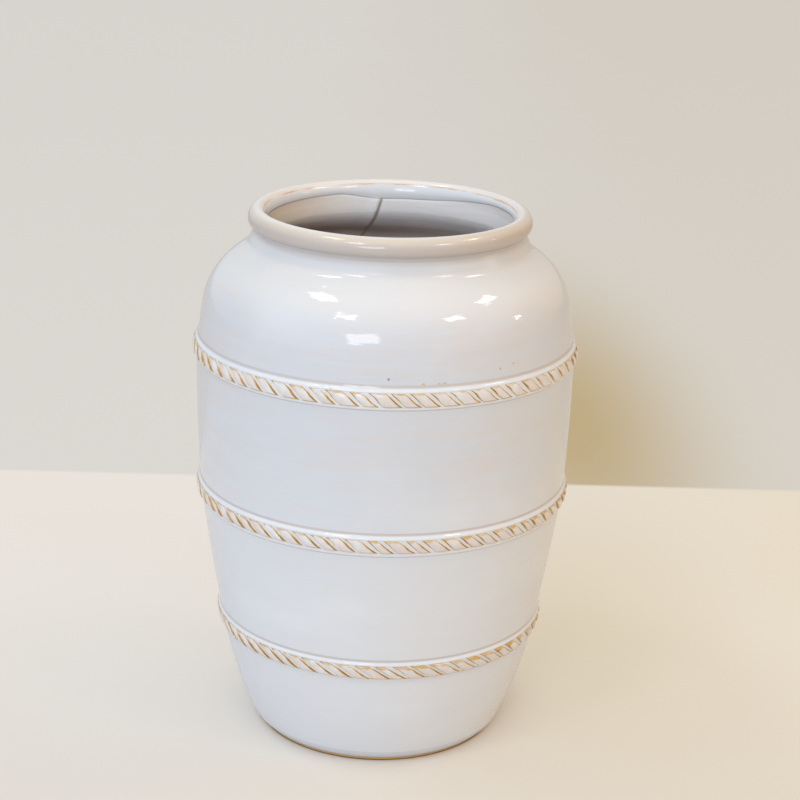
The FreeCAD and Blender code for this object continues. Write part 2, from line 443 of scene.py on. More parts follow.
def hand_offset(tree: ShapeTree, east: Field, north: Field, up: Field) -> Field:
    """How far the rings and the jar's being out of round move a point out.

    Args:
        tree: The tree, which has the inputs Ring depth, Ring pitch, Out of round and Seed.
        east: Cosine of the point's azimuth.
        north: Sine of the point's azimuth.
        up: The point's height.

    Returns:
        The offset, outward.
    """
    seed = tree.entry("Seed")
    ring_place = tree.combine(east * 0.35 + seed, north * 0.35, up / tree.entry("Ring pitch"))
    round_place = tree.combine(east * 0.7, north * 0.7 + seed, up / (150 * MM))
    rings = tree.noise(ring_place, 1.0, 1.0) * tree.entry("Ring depth")
    return rings + tree.noise(round_place, 1.0, 0.0) * tree.entry("Out of round")


class TurningTree(ShapeTree):
    """Sweeps an outline round the jar's axis, as a wheel does, with the marks of the hand."""

    SEAM_AZIMUTH = math.radians(94.7)
    SEAM_HEIGHT = 299.7 * MM
    SEAM_DRIFT = math.radians(215)
    SEAM_STEEP = 1.0 * MM
    SEAM_GENTLE = 4.4 * MM
    SEAM_CREST = 1.8 * MM
    SEAM_LINE = 0.85 * MM
    SEAM_WIDENING = 0.03
    SEAM_CUT = 0.45
    DIP_LEFT = (math.radians(118), math.radians(94))
    DIP_RIGHT = (math.radians(28), math.radians(78))
    SWELL_AZIMUTH = math.radians(25)
    LEAN_FOOT = 256 * MM
    LEAN_TOP = 296 * MM

    def __init__(self) -> None:
        """Write the tree."""
        super().__init__("turning")
        self.declare(
            "Columns", "Gather", "Ring depth", "Ring pitch", "Out of round",
            "Lift", "Dip", "Swell", "Ripple", "Seam depth", "Lean", "Seed",
        )
        outline = self.source.outputs["Geometry"]
        size = self.add("GeometryNodeAttributeDomainSize", {"component": "MESH"}, {0: outline})
        count = Field(self, size.outputs["Point Count"])
        columns = self.entry("Columns")
        mesh, column, row = self.grid(columns + 1.0, count + 1.0)
        self.outline = outline
        self.row = row.call("MODULO", count)
        radius, _, height = self.separate(self.sampled_place())
        azimuth = self.azimuth(column / columns * FULL_TURN)
        east, north = azimuth.call("COSINE"), azimuth.call("SINE")
        thrown, lift, seam = self.sampled("thrown"), self.sampled("lift"), self.sampled("seam")
        offset = hand_offset(self, east, north, height) * thrown
        fold, line = self.fold(azimuth, radius, height)
        out = radius + offset - fold * seam * self.entry("Seam depth")
        up = height + self.wave(azimuth, east, north) * lift
        aside = height.ramp(self.LEAN_FOOT, self.LEAN_TOP) * self.entry("Lean")
        mesh = self.placed(mesh, self.combine(out * east + aside, out * north, up))
        # The crease and seam marks say where shade is painted: along the joint inside the mouth, and
        # in the cut beside the fold.
        mesh = self.marked(
            mesh, inner=self.sampled("inner"), crease=self.sampled("crease"), seam=line * seam,
        )
        self.finish(mesh)

    def sampled_place(self) -> bpy.types.NodeSocket:
        """The outline's point for this row."""
        place = self.add("GeometryNodeInputPosition").outputs[0]
        settings = {"data_type": "FLOAT_VECTOR", "domain": "POINT"}
        inputs = {"Geometry": self.outline, "Value": place, "Index": self.row}
        return self.add("GeometryNodeSampleIndex", settings, inputs).outputs[0]

    def sampled(self, mark: str) -> Field:
        """The outline's mark for this row."""
        reader = self.add("GeometryNodeInputNamedAttribute", {"data_type": "FLOAT"}, {"Name": mark})
        settings = {"data_type": "FLOAT", "domain": "POINT"}
        inputs = {"Geometry": self.outline, "Value": reader.outputs[0], "Index": self.row}
        return Field(self, self.add("GeometryNodeSampleIndex", settings, inputs).outputs[0])

    def azimuth(self, even: Field) -> Field:
        """Draw the columns together at the seam's azimuth."""
        around = even - math.pi
        return around - around.call("SINE") * self.entry("Gather") + self.SEAM_AZIMUTH

    def fold(self, azimuth: Field, radius: Field, height: Field) -> tuple[Field, Field]:
        """The seam inside the neck, where one side of the clay laps over the other.

        Args:
            azimuth: The point's azimuth.
            radius: Its distance from the axis.
            height: Its height.

        Returns:
            The relief, 1 on the fold's crest and negative in the cut beside it, and the cut alone,
            from 0 to 1, which widens downwards and carries the painted shadow of the fold.
        """
        below = (self.SEAM_HEIGHT - height).call("MAXIMUM", 0.0)
        aside = (azimuth - below * self.SEAM_DRIFT - self.SEAM_AZIMUTH) * radius
        past = aside - self.SEAM_CREST
        steep = past.call("MINIMUM", 0.0) / self.SEAM_STEEP
        gentle = past.call("MAXIMUM", 0.0) / self.SEAM_GENTLE
        crest = ((steep * steep + gentle * gentle) * -1.0).call("EXPONENT")
        across = aside / (below * self.SEAM_WIDENING + self.SEAM_LINE)
        line = (across * across * -1.0).call("EXPONENT")
        return crest - line * self.SEAM_CUT, line

    def wave(self, azimuth: Field, east: Field, north: Field) -> Field:
        """How far a wavy joint stands up: a lift and a swell, less a dip at the seam."""
        dip = azimuth.ramp(*self.DIP_LEFT) * azimuth.ramp(*self.DIP_RIGHT) * self.entry("Dip")
        swell = (azimuth - self.SWELL_AZIMUTH).call("COSINE") * self.entry("Swell")
        place = self.combine(east * 2.2, north * 2.2, self.entry("Seed"))
        ripple = self.noise(place, 1.0, 1.0) * self.entry("Ripple")
        return self.entry("Lift") + swell + ripple - dip


class RopeTree(ShapeTree):
    """Presses a rope round the jar: slanting strands, parted by grooves that widen upwards."""

    COLUMNS = 20
    GROOVE_SHARE = 0.2
    EDGE_DRAW = 0.11
    ROWS = 21
    ROW_DRAW = 0.55
    GROOVE_CHANCE = 0.22
    CROWN_CHANCE = 0.14
    CROWN_FALL = 0.75
    CROWN_SIDE_FALL = 0.55
    EDGE_SLOPE = (-0.35, 0.9)
    END_SLOPE = (0.0, 0.22)
    FLOOR_SLOPE = (0.35, 1.0)

    def __init__(self) -> None:
        """Write the tree."""
        super().__init__("rope_strands")
        self.declare(
            "Strands", "Radius", "Taper", "Joint", "Rope", "Slant", "Groove above", "Groove below",
            "Floor", "Floor rise", "Edge depth", "Crown", "Root", "Side", "Sway", "Jitter", "Wobble",
            "Ring depth", "Ring pitch", "Out of round", "Seed",
        )
        strands = self.entry("Strands")
        mesh, column, row = self.grid(strands * float(self.COLUMNS) + 1.0, self.ROWS + 3)
        strand = (column / float(self.COLUMNS)).call("FLOOR")
        share = column / float(self.COLUMNS) - strand
        level, front = self.level(row)
        place = self.across(strand, share, level)
        mesh = self.placed(mesh, self.position(place, level, front))
        mesh = self.marked(
            mesh, edge=place["edge"] / MM, side=place["side"], level=level,
            chance=self.random(place["strand"], self.entry("Seed") + 7.0),
        )
        self.finish(mesh)

    def level(self, row: Field) -> tuple[Field, Field]:
        """Each row's level, from -1 at the rope's foot to 1 at its top, and 1 on its front.

        Args:
            row: The row's number; the last three run back behind the rope to its start.

        Returns:
            The level, and 1 on the front but 0 behind.
        """
        last = float(self.ROWS - 1)
        even = (row / last).call("MINIMUM", 1.0)
        drawn = (even * math.pi).call("COSINE") * -1.0
        rise = drawn * self.ROW_DRAW + (even * 2.0 - 1.0) * (1.0 - self.ROW_DRAW)
        down = (row - (last + 1.5)).clamp()
        level = rise - down * 2.0
        closing = (row - (last + 2.0)).clamp()
        back = (row - last).clamp() - closing
        return level, 1.0 - back

    def across(self, strand: Field, share: Field, level: Field) -> dict[str, Field]:
        """Where a point lies across its strand.

        Args:
            strand: The strand's number.
            share: The point's share of the strand's columns.
            level: The point's level, from -1 to 1.

        Returns:
            The way round the wall, the distance in from the strand's edge, the side from -1 to 1,
            and the strand's number.
        """
        strands, seed = self.entry("Strands"), self.entry("Seed")
        pitch = self.entry("Radius") * FULL_TURN / strands
        own = strand.call("MODULO", strands)
        following = (strand + 1.0).call("MODULO", strands)
        jitter = self.entry("Jitter")
        left = strand * pitch + self.random(own, seed) * jitter
        right = (strand + 1.0) * pitch + self.random(following, seed) * jitter
        height = level * 0.5 + 0.5
        widest, narrowest = self.entry("Groove above"), self.entry("Groove below")
        half_left = self.half_groove(own, height, widest, narrowest)
        half_left = half_left + self.wobble(own, level, 0.0)
        half_right = self.half_groove(following, height, widest, narrowest)
        half_right = half_right + self.wobble(following, level, 9.0)
        edge_share = self.GROOVE_SHARE
        into = (share / edge_share).clamp()
        inside = ((share - edge_share) / (1.0 - 2.0 * edge_share)).clamp()
        out_of = ((share - (1.0 - edge_share)) / edge_share).clamp()
        drawn = inside - (inside * FULL_TURN).call("SINE") * self.EDGE_DRAW
        pad = right - left - half_left - half_right
        way = left + half_left * into + pad * drawn + half_right * out_of
        from_left = way - left - half_left
        from_right = right - half_right - way
        edge = from_left.call("MINIMUM", from_right)
        return {"way": way, "edge": edge, "side": drawn * 2.0 - 1.0, "strand": own}

    def half_groove(self, number: Field, height: Field, widest: Field, narrowest: Field) -> Field:
        """Half the width of a groove at a height, a little different for each groove."""
        chance = self.random(number, self.entry("Seed") + 3.0) * self.GROOVE_CHANCE + 1.0
        return (narrowest + (widest - narrowest) * height) * chance * 0.5

    def wobble(self, number: Field, level: Field, shift: float) -> Field:
        """How far a groove's side strays at a level."""
        place = self.combine(number * 3.7, level * 1.3 + shift, self.entry("Seed"))
        return self.noise(place, 1.0, 1.0) * self.entry("Wobble")

    def position(self, place: dict[str, Field], level: Field, front: Field) -> bpy.types.NodeSocket:
        """Where a point stands: round the wall, up it, and out from it.

        Args:
            place: What across() gives.
            level: The point's level.
            front: 1 on the front, 0 behind.

        Returns:
            The point's position.
        """
        radius, taper = self.entry("Radius"), self.entry("Taper")
        height = level * self.entry("Rope") * 0.5
        sway = (level * math.pi).call("SINE") * self.entry("Sway")
        swing = place["way"] - height * self.entry("Slant") + sway
        azimuth = swing / radius
        east, north = azimuth.call("COSINE"), azimuth.call("SINE")
        up = self.entry("Joint") + height
        wall = radius + taper * height + hand_offset(self, east, north, up)
        proud = self.relief(place, level)
        out = wall + self.entry("Root") + (proud - self.entry("Root")) * front
        return self.combine(out * east, out * north, up)

    def relief(self, place: dict[str, Field], level: Field) -> Field:
        """How far the strand or the groove beside it stands out from the wall."""
        side = place["side"]
        slope = (place["edge"] / self.entry("Side")).ramp(*self.EDGE_SLOPE)
        ends = (1.0 - level * level).ramp(*self.END_SLOPE)
        floor = self.entry("Floor") + self.entry("Floor rise") * level.ramp(*self.FLOOR_SLOPE)
        rounded = (1.0 - level * level * self.CROWN_FALL) * (1.0 - side * side * self.CROWN_SIDE_FALL)
        chance = self.random(place["strand"], self.entry("Seed") + 5.0) * self.CROWN_CHANCE + 1.0
        top = self.entry("Edge depth") + self.entry("Crown") * rounded * chance
        return floor + (top - floor) * slope * ends


class Tone(Enum):
    """Colours that the finishes share, as linear light."""

    WHITE = (0.578, 0.628, 0.715)
    POOLED = (0.69, 0.74, 0.815)
    # Painted shade in the hollow of the neck under the rim.
    HOLLOW_SHADE = (0.55, 0.59, 0.66)
    # Painted light: the upper shoulder painted paler and warmer.
    CROWN = (0.705, 0.717, 0.73)
    # Painted shade under the rim.
    UNDER_SHADE = (0.51, 0.50, 0.53)
    # The inside glaze, painted far paler than the outside as painted light.
    LIT_LINING = (0.90, 0.925, 0.975)
    SAND = (0.80, 0.75, 0.68)
    SHADED = (0.51, 0.495, 0.515)
    THIN = (0.63, 0.575, 0.565)
    IVORY = (0.76, 0.75, 0.735)
    CREAM = (0.625, 0.57, 0.495)
    ROSE = (0.48, 0.445, 0.435)
    AMBER = (0.56, 0.37, 0.11)
    BURNT = (0.40, 0.23, 0.065)
    TOAST = (0.62, 0.36, 0.17)
    CLAY = (0.54, 0.36, 0.17)
    DEEP = (0.30, 0.205, 0.125)
    DUSK = (0.62, 0.555, 0.545)
    # Painted shadow, dark brown, in the crease and in the seam's cut.
    SEAM = (0.20, 0.135, 0.08)
    IRON = (0.19, 0.10, 0.055)
    COBALT = (0.10, 0.13, 0.38)


class Paint(Tree):
    """A material's shader tree, with the place on the piece at hand."""

    def __init__(self, name: str) -> None:
        """Make the material and its coordinates."""
        self.material = bpy.data.materials.new(name)
        self.material.use_nodes = True
        super().__init__(self.material.node_tree)
        self.place = self.add("ShaderNodeTexCoord").outputs["Object"]
        self.east, self.north, self.height = self.separate(self.place)

    def mark(self, name: str) -> Field:
        """A number stored on the piece."""
        node = self.add("ShaderNodeAttribute", {"attribute_name": name})
        return Field(self, node.outputs["Fac"])

    def from_axis(self) -> Field:
        """Distance from the jar's axis."""
        return (self.east * self.east + self.north * self.north).call("SQRT")

    def creased(self, colour: object) -> bpy.types.NodeSocket:
        """Paint shade into the joint inside the mouth, little at the back and more towards the sides.
        """
        aside = self.east.call("ABSOLUTE").ramp(20 * MM, 68 * MM) * 0.3 + 0.04
        share = self.mark("crease").ramp(0.0, 1.0) * aside
        return self.blend(share, colour, Tone.SEAM.value)

    def stretched(self, upward: float, shift: float = 0.0) -> bpy.types.NodeSocket:
        """The place, with its height multiplied, for streaks that run round the jar."""
        return self.combine(self.east + shift, self.north, self.height * upward)

    def blend(self, share: Number, first: object, second: object) -> bpy.types.NodeSocket:
        """Mix two colours, each a tuple or a socket."""
        node = self.add("ShaderNodeMix", {"data_type": "RGBA"}, {0: share})
        for number, colour in ((6, first), (7, second)):
            value = (*colour, 1.0) if isinstance(colour, tuple) else colour
            self.join(node.inputs[number], value)
        return node.outputs[2]

    def specks(self, size: float, spacing: float, share: float, shift: float) -> Field:
        """Round specks at random places.

        Args:
            size: A speck's greatest radius.
            spacing: Size of the cell that may hold one.
            share: Share of the cells that hold one.
            shift: Moves the pattern.

        Returns:
            1 in a speck, 0 outside.
        """
        settings = {"feature": "F1"}
        inputs = {"Vector": self.stretched(1.0, shift), "Scale": 1.0 / spacing}
        cells = self.add("ShaderNodeTexVoronoi", settings, inputs)
        red, green, _ = self.separate(cells.outputs["Color"])
        chosen = red.call("LESS_THAN", share)
        reach = (green * 0.7 + 0.3) * (size / spacing)
        return (Field(self, cells.outputs["Distance"]) / reach).ramp(1.0, 0.6) * chosen

    def spot(self, azimuth: float, height: float, out: float, size: float) -> Field:
        """One speck at a known place on the wall.

        Args:
            azimuth: In degrees, anticlockwise from +X.
            height: In millimetres.
            out: Distance from the axis in millimetres.
            size: Radius in millimetres.

        Returns:
            1 in the speck, 0 outside.
        """
        turn = math.radians(azimuth)
        away = self.east - out * MM * math.cos(turn)
        beside = self.north - out * MM * math.sin(turn)
        above = self.height - height * MM
        gap = (away * away + beside * beside + above * above).call("SQRT")
        return (gap / (size * MM)).ramp(1.15, 0.6)

    def gloss(self, colour: bpy.types.NodeSocket, roughness: Number) -> bpy.types.Node:
        """A glazed surface."""
        inputs = {"Base Color": colour, "Roughness": roughness, "IOR": GLAZE_IOR}
        return self.add("ShaderNodeBsdfPrincipled", None, inputs)

    def bumped(self, surface: bpy.types.Node, relief: Field, depth: float) -> None:
        """Give a surface fine relief, with 1 of the relief standing for depth in metres."""
        inputs = {"Strength": 1.0, "Distance": depth, "Height": relief}
        bump = self.add("ShaderNodeBump", None, inputs)
        self.join(surface.inputs["Normal"], bump.outputs[0])

    def close(
        self, colour: bpy.types.NodeSocket, roughness: Number, relief: Field, depth: float,
    ) -> bpy.types.Material:
        """End in one glazed surface.

        Args:
            colour: Its colour.
            roughness: A number, or a Field where it varies.
            relief: Fine height, about -1 to 1.
            depth: The height in metres that 1 stands for.

        Returns:
            The material.
        """
        surface = self.gloss(colour, roughness)
        self.bumped(surface, relief, depth)
        self.add("ShaderNodeOutputMaterial", None, {"Surface": surface.outputs[0]})
        return self.material


# The larger marks on the wall, each by its azimuth in degrees, then its height, its distance from
# the axis and its radius in millimetres.
SMUDGES = (
    (287.1, 239.6, 107.4, 1.4), (285.5, 239.8, 107.4, 1.1), (280.9, 239.9, 107.4, 1.2),
    (293.0, 95.0, 99.6, 0.9), (305.0, 244.5, 107.0, 0.9), (310.0, 246.0, 107.0, 0.8),
)
BLUE_DOT = (271.1, 243.0, 107.1, 0.85)


@dataclass(frozen=True)
class WhiteGlaze:
    """Glossy white glaze over tan clay, faintly streaked round the jar and specked with iron.

    Inside, it thins below the neck and leaves the dark clay. Light and shade are painted in too:
    paler on the upper shoulder, towards the foot and on the inside of the neck, darker in the neck's
    hollow, under the rim, along the crease inside the mouth and in the cut beside the seam. A span is
    the height, or the place east of the axis, where a change of tone starts and the one where it is
    complete.
    """

    name: str = "white_glaze"
    roughness: float = 0.075
    hollow_roughness: float = 0.17
    peel_depth: float = 0.045 * MM
    streak: float = 0.42
    # Painted light: the wall is painted paler towards the foot.
    lit_low_wall: Span = (215 * MM, 105 * MM)
    # Painted light on the upper shoulder.
    crown: Span = (262 * MM, 283 * MM)
    # Painted shade in the neck's hollow.
    hollow: Span = (288 * MM, 294 * MM)
    hollow_matt: Span = (289 * MM, 293 * MM)
    # Painted shade on the neck just under the rim.
    under_rim_shade: Span = (295 * MM, 298 * MM)
    sandy_side: Span = (-15 * MM, -62 * MM)
    bare_side: Span = (60 * MM, -40 * MM)
    inside_edge: float = 282.0 * MM
    inside_tilt: float = -0.077
    inside_blend: float = 6.5 * MM
    inside_foot: float = 274.0 * MM
    foot_blend: float = 3 * MM

    def cloud(self, paint: Paint) -> Field:
        """How thin the glaze is, from 0 to about 1: broad clouds and level streaks."""
        broad = paint.noise(paint.place, 16.0, 3.0)
        level = paint.noise(paint.stretched(9.0), 26.0, 3.0)
        return (broad * 0.6 + level * 0.7).ramp(-0.45, 0.75)

    def flecked(self, paint: Paint, colour: object) -> object:
        """Add iron specks, and the few larger smudges and the blue dot."""
        dark = paint.specks(0.34 * MM, 17 * MM, 0.22, 0.0)
        colour = paint.blend(dark, colour, Tone.IRON.value)
        fine = paint.specks(0.22 * MM, 9 * MM, 0.12, 3.0) * 0.8
        colour = paint.blend(fine, colour, Tone.BURNT.value)
        for place in SMUDGES:
            colour = paint.blend(paint.spot(*place) * 0.7, colour, Tone.AMBER.value)
        return paint.blend(paint.spot(*BLUE_DOT) * 0.65, colour, Tone.COBALT.value)

    def lined(self, paint: Paint, colour: object) -> object:
        """Glaze the inside of the neck thickly, painted paler as painted light, and leave the dark
        clay below it. Shade is painted along the crease and in the seam's cut.
        """
        inner = paint.mark("inner").ramp(0.1, 0.5)
        sandy = paint.east.ramp(*self.sandy_side)
        # Painted light: the inside of the neck is painted far paler than the outer glaze.
        lining = paint.blend(sandy, Tone.LIT_LINING.value, Tone.SAND.value)
        colour = paint.blend(inner, colour, lining)
        drift = paint.noise(paint.place, 45.0, 3.0) * (1.2 * MM)
        level = paint.height + drift - paint.east.call("MINIMUM", 0.0) * self.inside_tilt
        edge, blend = self.inside_edge, self.inside_blend
        aside = paint.east.ramp(*self.bare_side) * 0.45 + 0.55
        bare = level.ramp(edge + blend, edge - blend) * aside
        below = level.ramp(self.inside_foot + self.foot_blend, self.inside_foot - self.foot_blend)
        deep = paint.blend(below, Tone.DEEP.value, Tone.DUSK.value)
        # Painted shade: the crease inside the mouth is darkened.
        colour = paint.creased(paint.blend(inner * bare, colour, deep))
        # Painted shadow in the cut beside the seam's fold.
        seam = paint.mark("seam").ramp(0.0, 1.0) * inner * 0.7
        return paint.blend(seam, colour, Tone.SEAM.value)

    def build(self) -> bpy.types.Material:
        """Make the material."""
        paint = Paint(self.name)
        thin = self.cloud(paint)
        colour = paint.blend(thin * self.streak, Tone.WHITE.value, Tone.THIN.value)
        # Thick glaze in level streaks, and the lower wall painted paler towards the foot as painted
        # light.
        thick = paint.noise(paint.stretched(1.8), 11.0, 3.0).ramp(0.0, 0.7) * 0.3
        low = paint.height.ramp(*self.lit_low_wall) * 0.6
        colour = paint.blend(low + thick, colour, Tone.POOLED.value)
        # Painted light and shade by height: the upper shoulder paler, the neck's hollow and the band
        # just under the rim darker.
        heights = (
            (self.crown, 0.8, Tone.CROWN), (self.hollow, 0.8, Tone.HOLLOW_SHADE),
            (self.under_rim_shade, 0.7, Tone.UNDER_SHADE),
        )
        for span, share, tone in heights:
            colour = paint.blend(paint.height.ramp(*span) * share, colour, tone.value)
        colour = self.flecked(paint, colour)
        colour = self.lined(paint, colour)
        fine = paint.noise(paint.place, 150.0, 1.0)
        peel = fine * 0.35 + paint.noise(paint.stretched(5.0), 60.0, 2.0)
        matt = paint.height.ramp(*self.hollow_matt) * self.hollow_roughness
        return paint.close(colour, matt + self.roughness, peel, self.peel_depth)


@dataclass(frozen=True)
class BeadGlaze:
    """White glaze pooled thick on the beads, painted shade along the bed's upper and lower edge."""

    name: str = "bead_glaze"
    roughness: float = 0.07

    def build(self) -> bpy.types.Material:
        """Make the material."""
        paint = Paint(self.name)
        drift = paint.noise(paint.place, 60.0, 3.0)
        colour = paint.blend(drift.ramp(-0.6, 1.4) * 0.35, Tone.POOLED.value, Tone.WHITE.value)
        # Painted shade along the bed's upper and lower edge.
        colour = paint.blend(paint.mark("inner").ramp(0.15, 0.95), colour, Tone.SHADED.value)
        pits = paint.specks(0.42 * MM, 7 * MM, 0.40, 5.0)
        colour = paint.blend(pits * 0.75, colour, Tone.IRON.value)
        peel = drift * 0.5 + paint.noise(paint.place, 220.0, 1.0) - pits * 1.5
        return paint.close(colour, self.roughness, peel, 0.05 * MM)


@dataclass(frozen=True)
class RopeGlaze:
    """White glaze pooled in the grooves, thin and rosy on the strands, broken to amber on edges."""

    name: str
    line: float = 0.46
    smear: float = 0.0
    hem: float = 0.2
    roughness: float = 0.09

    def build(self) -> bpy.types.Material:
        """Make the material."""
        paint = Paint(self.name)
        wander = paint.noise(paint.place, 210.0, 2.0)
        patch = paint.noise(paint.place, 70.0, 2.0)
        face = paint.mark("edge").ramp(-0.2, 0.35)
        rosy = (wander * 0.35 + patch * 0.5 + 0.62).clamp()
        colour = paint.blend(face * rosy, Tone.POOLED.value, Tone.THIN.value)
        mottled = face * (wander * 0.8 + patch * 0.5).ramp(0.15, 0.8) * 0.5
        colour = paint.blend(mottled, colour, Tone.SAND.value)
        amber = self.amber(paint, wander)
        colour = paint.blend(amber.ramp(0.05, 0.85), colour, Tone.AMBER.value)
        colour = paint.blend(amber.ramp(0.65, 1.35), colour, Tone.BURNT.value)
        peel = wander * 0.6 + patch
        return paint.close(colour, self.roughness, peel, 0.09 * MM)

    def amber(self, paint: Paint, wander: Field) -> Field:
        """How far the glaze has broken to amber.

        The left edge is strongest at its top and the right edge at its foot, as the glaze runs.

        The marks are edge, in millimetres in from the strand's edge; side, from -1 on the strand's
        left to 1 on its right; level, from -1 at the foot to 1 at the top; and chance, a random
        number for the strand.

        Args:
            paint: The material.
            wander: Fine noise.

        Returns:
            0 for none, 1 for amber, more for burnt.
        """
        edge, side, level = paint.mark("edge"), paint.mark("side"), paint.mark("level")
        chance = paint.mark("chance")
        smear = paint.east.ramp(-28 * MM, 8 * MM) * self.smear
        rightward = side.ramp(-0.25, 0.25)
        high = level.ramp(-1.0, 1.0)
        strength = (1.0 - rightward) * (high * 0.5 + 0.75) + rightward * (1.45 - high * 0.65)
        width = strength * (wander * 0.3 + 1.0) * self.line
        middle = edge - 0.12
        line = (middle.call("ABSOLUTE") / width).ramp(1.5, 0.35)
        on_strand = edge.ramp(-0.1, 0.4)
        foot = (level + wander * 0.05).ramp(-0.74, -0.9) * (on_strand * (0.8 - self.hem) + self.hem)
        reach = 0.68 - smear
        head = (level + wander * 0.22).ramp(reach, reach + 0.3) * on_strand * (0.55 + smear * 0.4)
        patchy = wander * 0.45 + chance * 0.2 + 0.92
        along = (line * strength).call("MAXIMUM", foot).call("MAXIMUM", head)
        return along * patchy


@dataclass(frozen=True)
class RimGlaze:
    """Cream glaze on the rolled rim: rosy where it is thin, toasted along the inner edge, with
    painted shade under the roll and along the crease inside.

    A span is the height, or the distance from the axis, where a change of tone starts and the one
    where it is complete. lip_line is that distance from the lip's height.
    """

    name: str = "rim_glaze"
    roughness: float = 0.10
    relief_depth: float = 0.03 * MM
    rosy: Span = (310.2 * MM, 306.0 * MM)
    thin_side: Span = (74.8 * MM, 78.3 * MM)
    # Painted shade on the roll's underside, where it meets the neck.
    under_rim_shade: Span = (301.5 * MM, 299.5 * MM)
    neck_face: Span = (74.5 * MM, 75.2 * MM)
    mouth_face: Span = (73.6 * MM, 72.8 * MM)
    lip_height: float = 309.0 * MM
    lip_line: Span = (0.6 * MM, 0.15 * MM)

    def build(self) -> bpy.types.Material:
        """Make the material."""
        paint = Paint(self.name)
        drift = paint.noise(paint.stretched(1.5), 38.0, 3.0)
        fine = paint.noise(paint.place, 190.0, 2.0)
        radius = paint.from_axis()
        outer = (radius + drift * (0.4 * MM)).ramp(*self.thin_side)
        low = (paint.height + drift * (0.6 * MM)).ramp(*self.rosy)
        side = paint.blend(low, Tone.CREAM.value, Tone.ROSE.value)
        colour = paint.blend(outer, Tone.IVORY.value, side)
        # Painted shade under the roll, next to the neck.
        under = (paint.height + drift * (0.4 * MM)).ramp(*self.under_rim_shade)
        colour = paint.blend(under * radius.ramp(*self.neck_face), colour, Tone.UNDER_SHADE.value)
        within = radius.ramp(*self.mouth_face)
        inside = within * paint.height.ramp(self.lip_height, self.lip_height - 0.6 * MM)
        colour = paint.blend(inside, colour, Tone.POOLED.value)
        from_lip = (paint.height - self.lip_height + fine * (0.2 * MM)).call("ABSOLUTE")
        broken = (drift + fine * 0.35).ramp(-0.6, 0.5)
        lip = from_lip.ramp(*self.lip_line) * broken * within * 0.9
        # Toasted lip line, then painted shade along the crease inside the mouth.
        colour = paint.creased(paint.blend(lip, colour, Tone.TOAST.value))
        return paint.close(colour, self.roughness, fine * 0.4 + drift, self.relief_depth)


@dataclass(frozen=True)
class FootFinish:
    """White glaze wiped off above the table: matt tan clay below a wavy line, and underneath.

    outer_face and ring_face are spans of the distance from the axis, and inner_floor of height.
    """

    name: str = "foot_finish"
    line: float = 2.0 * MM
    drift: float = 0.25 * MM
    gloss_roughness: float = 0.08
    clay_roughness: float = 0.85
    grain_depth: float = 0.12 * MM
    outer_face: Span = (69.5 * MM, 70.2 * MM)
    ring_face: Span = (69.0 * MM, 69.5 * MM)
    inner_floor: Span = (5 * MM, 6 * MM)

    def build(self) -> bpy.types.Material:
        """Make the material from a glazed and a bare surface."""
        paint = Paint(self.name)
        grain = paint.noise(paint.place, 420.0, 3.0)
        patch = paint.noise(paint.place, 24.0, 2.0)
        edge = paint.height + patch * self.drift
        glazed = edge.ramp(self.line - 0.1 * MM, self.line + 0.1 * MM)
        radius = paint.from_axis()
        outside = glazed * radius.ramp(*self.outer_face)
        mottle = (grain * 0.3 + patch * 0.4 + 0.4).clamp()
        clay = paint.blend(mottle, Tone.CLAY.value, Tone.AMBER.value)
        clay = paint.blend(paint.height.ramp(*self.inner_floor), clay, Tone.DUSK.value)
        ring = edge.ramp(self.line - 0.9 * MM, self.line) * radius.ramp(*self.ring_face)
        fired = paint.blend(ring, clay, Tone.CLAY.value)
        thin = edge.ramp(self.line + 0.9 * MM, self.line)
        white = paint.blend(thin, Tone.WHITE.value, Tone.THIN.value)
        inputs = {"Base Color": fired, "Roughness": self.clay_roughness}
        rough = paint.add("ShaderNodeBsdfPrincipled", None, inputs)
        gloss = paint.gloss(white, self.gloss_roughness)
        paint.bumped(rough, grain, self.grain_depth)
        inputs = {0: outside, 1: rough.outputs[0], 2: gloss.outputs[0]}
        mixed = paint.add("ShaderNodeMixShader", None, inputs)
        paint.add("ShaderNodeOutputMaterial", None, {"Surface": mixed.outputs[0]})
        return paint.material


@dataclass(frozen=True)
class Band:
    """The sizes of one rope band, in millimetres, with its lean in degrees.

    The wall has radius at the joint and gains taper for each millimetre up. The rope is rope high;
    it reaches overhang lower than its node, and lowered less high. Its strands stand pitch apart.
    bead_below and bead_above are the bed beside the rope, and bead is the upper bead's own height.
    smear and hem say how much amber the strands have at the top and along the foot.
    """

    name: str
    radius: float
    taper: float
    rope: float
    bead_below: float
    bead_above: float
    bead: float
    overhang: float
    lowered: float
    pitch: float
    lean: float
    smear: float
    hem: float
    seed: float

    @property
    def joint(self) -> float:
        """Height of the wall joint behind the rope, from the frame."""
        low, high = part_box(f"{self.name}_rope")
        return (low.z + high.z) / 2 / MM

    def wall(self, up: float, out: float = 0.0) -> tuple[float, float]:
        """A place beside the joint: up along the flared wall, and out from its face."""
        return self.radius + self.taper * up + out, self.joint + up

    @property
    def foot(self) -> float:
        """The band's lower edge, from the joint."""
        return -(self.rope / 2 + self.bead_below)

    @property
    def top(self) -> float:
        """The band's upper edge, from the joint."""
        return self.rope / 2 + self.bead_above


